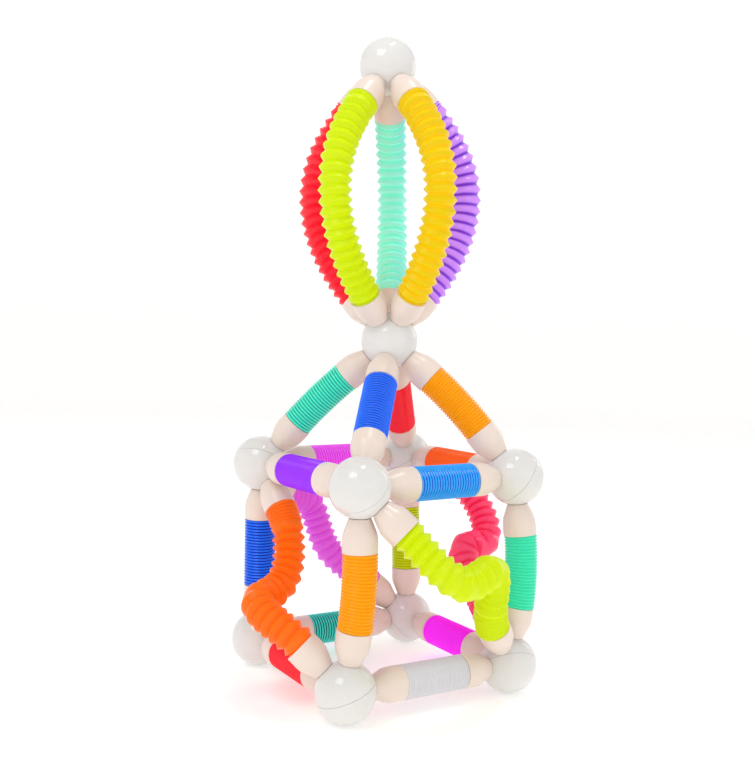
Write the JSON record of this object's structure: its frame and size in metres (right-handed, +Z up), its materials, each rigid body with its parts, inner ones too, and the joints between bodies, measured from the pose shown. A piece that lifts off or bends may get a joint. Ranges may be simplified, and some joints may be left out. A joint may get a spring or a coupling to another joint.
{
  "type": "magnetic ball and pop tube construction toy",
  "caption": "Lantern-shaped build of magnetic corrugated pop tubes and steel-cored balls: braced cube cage, pyramid roof and a bulb of bowed tubes.",
  "frame": {"origin": "on the floor, under the middle of the cage", "axes": "+Z up; the cage corners front, right, back and left are at headings -45, 45, 135 and 225 degrees from +X"},
  "size_m": [0.1856, 0.1864, 0.3762],
  "materials": {
    "ball_white": "glossy moulded ABS",
    "cap_cream": "satin moulded ABS",
    "steel": "pressed mild steel, hidden inside the balls",
    "amber": "satin blow-moulded polyethylene",
    "royal_blue": "satin blow-moulded polyethylene",
    "mint_teal": "satin blow-moulded polyethylene",
    "olive_lime": "satin blow-moulded polyethylene",
    "violet": "satin blow-moulded polyethylene",
    "azure": "satin blow-moulded polyethylene",
    "magenta": "satin blow-moulded polyethylene",
    "vermilion": "satin blow-moulded polyethylene",
    "red": "satin blow-moulded polyethylene",
    "pale_grey": "satin blow-moulded polyethylene",
    "deep_teal": "satin blow-moulded polyethylene",
    "fuchsia": "satin blow-moulded polyethylene",
    "teal": "satin blow-moulded polyethylene",
    "lime": "satin blow-moulded polyethylene",
    "mint": "satin blow-moulded polyethylene",
    "golden": "satin blow-moulded polyethylene",
    "purple": "satin blow-moulded polyethylene",
    "orange": "satin blow-moulded polyethylene",
    "orchid": "satin blow-moulded polyethylene",
    "coral": "satin blow-moulded polyethylene"
  },
  "bodies": {
    "cage_balls": {"cage_ball_upper_shells": "ball_white", "cage_ball_lower_shells": "ball_white", "cage_ball_steel_cores": "steel"},
    "apex_ball": {"apex_ball_upper_shell": "ball_white", "apex_ball_lower_shell": "ball_white", "apex_ball_steel_core": "steel"},
    "top_ball": {"top_ball_upper_shell": "ball_white", "top_ball_lower_shell": "ball_white", "top_ball_steel_core": "steel"},
    "front_post": {"front_post_bellows": "amber", "front_post_end_caps": "cap_cream"},
    "roof_front": {"roof_front_bellows": "royal_blue", "roof_front_end_caps": "cap_cream"},
    "right_post": {"right_post_bellows": "mint_teal", "right_post_end_caps": "cap_cream"},
    "roof_right": {"roof_right_bellows": "amber", "roof_right_end_caps": "cap_cream"},
    "back_post": {"back_post_bellows": "olive_lime", "back_post_end_caps": "cap_cream"},
    "roof_back": {"roof_back_bellows": "red", "roof_back_end_caps": "cap_cream"},
    "left_post": {"left_post_bellows": "royal_blue", "left_post_end_caps": "cap_cream"},
    "roof_left": {"roof_left_bellows": "teal", "roof_left_end_caps": "cap_cream"},
    "ring_front_right": {"ring_front_right_bellows": "azure", "ring_front_right_end_caps": "cap_cream"},
    "base_front_right": {"base_front_right_bellows": "pale_grey", "base_front_right_end_caps": "cap_cream"},
    "ring_back_right": {"ring_back_right_bellows": "vermilion", "ring_back_right_end_caps": "cap_cream"},
    "base_back_right": {"base_back_right_bellows": "fuchsia", "base_back_right_end_caps": "cap_cream"},
    "ring_back_left": {"ring_back_left_bellows": "magenta", "ring_back_left_end_caps": "cap_cream"},
    "base_back_left": {"base_back_left_bellows": "deep_teal", "base_back_left_end_caps": "cap_cream"},
    "ring_front_left": {"ring_front_left_bellows": "violet", "ring_front_left_end_caps": "cap_cream"},
    "base_front_left": {"base_front_left_bellows": "red", "base_front_left_end_caps": "cap_cream"},
    "brace_front_left": {"brace_front_left_bellows": "orange", "brace_front_left_end_caps": "cap_cream"},
    "brace_front_right": {"brace_front_right_bellows": "lime", "brace_front_right_end_caps": "cap_cream"},
    "brace_back_right": {"brace_back_right_bellows": "coral", "brace_back_right_end_caps": "cap_cream"},
    "brace_back_left": {"brace_back_left_bellows": "orchid", "brace_back_left_end_caps": "cap_cream"},
    "rib_front_left": {"rib_front_left_bellows": "lime", "rib_front_left_end_caps": "cap_cream"},
    "rib_front_right": {"rib_front_right_bellows": "golden", "rib_front_right_end_caps": "cap_cream"},
    "rib_right": {"rib_right_bellows": "purple", "rib_right_end_caps": "cap_cream"},
    "rib_back": {"rib_back_bellows": "mint", "rib_back_end_caps": "cap_cream"},
    "rib_left": {"rib_left_bellows": "red", "rib_left_end_caps": "cap_cream"}
  },
  "joints": [
    {"name": "roof_lift", "type": "slide", "parent": "cage_balls", "child": "apex_ball", "axis": [0, 0, 1], "range_m": [0, 0.06]},
    {"name": "bulb_turn", "type": "hinge", "parent": "apex_ball", "child": "top_ball", "pos_m": [0, 0, 0.20078], "axis": [-0.0099, -0.0371, 0.9993], "continuous": true},
    {"name": "front_post_turn", "type": "hinge", "parent": "cage_balls", "child": "front_post", "pos_m": [0.054, -0.054, 0.12441], "axis": [-0.0296, -0.028, -0.9992], "range_deg": [-90, 90]},
    {"name": "roof_front_turn", "type": "hinge", "parent": "apex_ball", "child": "roof_front", "pos_m": [0, 0, 0.20078], "axis": [0.5, -0.5, -0.7071], "continuous": true},
    {"name": "right_post_turn", "type": "hinge", "parent": "cage_balls", "child": "right_post", "pos_m": [0.054, 0.054, 0.12441], "axis": [0.028, -0.0296, -0.9992], "range_deg": [-24, 8]},
    {"name": "roof_right_turn", "type": "hinge", "parent": "apex_ball", "child": "roof_right", "pos_m": [0, 0, 0.20078], "axis": [0.5, 0.5, -0.7071], "continuous": true},
    {"name": "back_post_turn", "type": "hinge", "parent": "cage_balls", "child": "back_post", "pos_m": [-0.054, 0.054, 0.12441], "axis": [0.0296, 0.028, -0.9992], "continuous": true},
    {"name": "roof_back_turn", "type": "hinge", "parent": "apex_ball", "child": "roof_back", "pos_m": [0, 0, 0.20078], "axis": [-0.5, 0.5, -0.7071], "continuous": true},
    {"name": "left_post_turn", "type": "hinge", "parent": "cage_balls", "child": "left_post", "pos_m": [-0.054, -0.054, 0.12441], "axis": [-0.028, 0.0296, -0.9992], "continuous": true},
    {"name": "roof_left_turn", "type": "hinge", "parent": "apex_ball", "child": "roof_left", "pos_m": [0, 0, 0.20078], "axis": [-0.5, -0.5, -0.7071], "continuous": true},
    {"name": "ring_front_right_turn", "type": "hinge", "parent": "cage_balls", "child": "ring_front_right", "pos_m": [0.054, -0.054, 0.12441], "axis": [0, 1, 0], "continuous": true},
    {"name": "base_front_right_turn", "type": "hinge", "parent": "cage_balls", "child": "base_front_right", "pos_m": [0.0508, -0.05702, 0.0165], "axis": [0.0576, 0.9983, 0], "continuous": true},
    {"name": "ring_back_right_turn", "type": "hinge", "parent": "cage_balls", "child": "ring_back_right", "pos_m": [0.054, 0.054, 0.12441], "axis": [-1, 0, 0], "continuous": true},
    {"name": "base_back_right_turn", "type": "hinge", "parent": "cage_balls", "child": "base_back_right", "pos_m": [0.05702, 0.0508, 0.0165], "axis": [-0.9983, 0.0576, 0], "continuous": true},
    {"name": "ring_back_left_turn", "type": "hinge", "parent": "cage_balls", "child": "ring_back_left", "pos_m": [-0.054, 0.054, 0.12441], "axis": [0, -1, 0], "continuous": true},
    {"name": "base_back_left_turn", "type": "hinge", "parent": "cage_balls", "child": "base_back_left", "pos_m": [-0.0508, 0.05702, 0.0165], "axis": [-0.0576, -0.9983, 0], "continuous": true},
    {"name": "ring_front_left_turn", "type": "hinge", "parent": "cage_balls", "child": "ring_front_left", "pos_m": [-0.054, -0.054, 0.12441], "axis": [1, 0, 0], "continuous": true},
    {"name": "base_front_left_turn", "type": "hinge", "parent": "cage_balls", "child": "base_front_left", "pos_m": [-0.05702, -0.0508, 0.0165], "axis": [0.9983, -0.0576, 0], "continuous": true},
    {"name": "brace_front_left_turn", "type": "hinge", "parent": "cage_balls", "child": "brace_front_left", "pos_m": [-0.054, -0.054, 0.12441], "axis": [0.6966, -0.0201, -0.7172], "range_deg": [-8, 28]},
    {"name": "brace_front_right_turn", "type": "hinge", "parent": "cage_balls", "child": "brace_front_right", "pos_m": [0.054, -0.054, 0.12441], "axis": [0.0201, 0.6966, -0.7172], "range_deg": [-6, 4]},
    {"name": "brace_back_right_turn", "type": "hinge", "parent": "cage_balls", "child": "brace_back_right", "pos_m": [-0.054, 0.054, 0.12441], "axis": [0.7169, -0.0207, -0.6968], "range_deg": [-34, 4]},
    {"name": "brace_back_left_turn", "type": "hinge", "parent": "cage_balls", "child": "brace_back_left", "pos_m": [-0.054, -0.054, 0.12441], "axis": [0.0207, 0.7169, -0.6968], "range_deg": [-6, 6]},
    {"name": "rib_front_left_pull", "type": "slide", "parent": "top_ball", "child": "rib_front_left", "axis": [0.2929, -0.9556, -0.0325], "range_m": [0, 0.05]},
    {"name": "rib_front_right_pull", "type": "slide", "parent": "top_ball", "child": "rib_front_right", "axis": [0.9998, 0.0171, 0.0106], "range_m": [0, 0.05]},
    {"name": "rib_right_pull", "type": "slide", "parent": "top_ball", "child": "rib_right", "axis": [0.3089, 0.9503, 0.0383], "range_m": [0, 0.05]},
    {"name": "rib_back_pull", "type": "slide", "parent": "top_ball", "child": "rib_back", "axis": [-0.7882, 0.6152, 0.015], "range_m": [0, 0.05]},
    {"name": "rib_left_pull", "type": "slide", "parent": "top_ball", "child": "rib_left", "axis": [-0.8387, -0.5438, -0.0285], "range_m": [0, 0.05]}
  ]
}
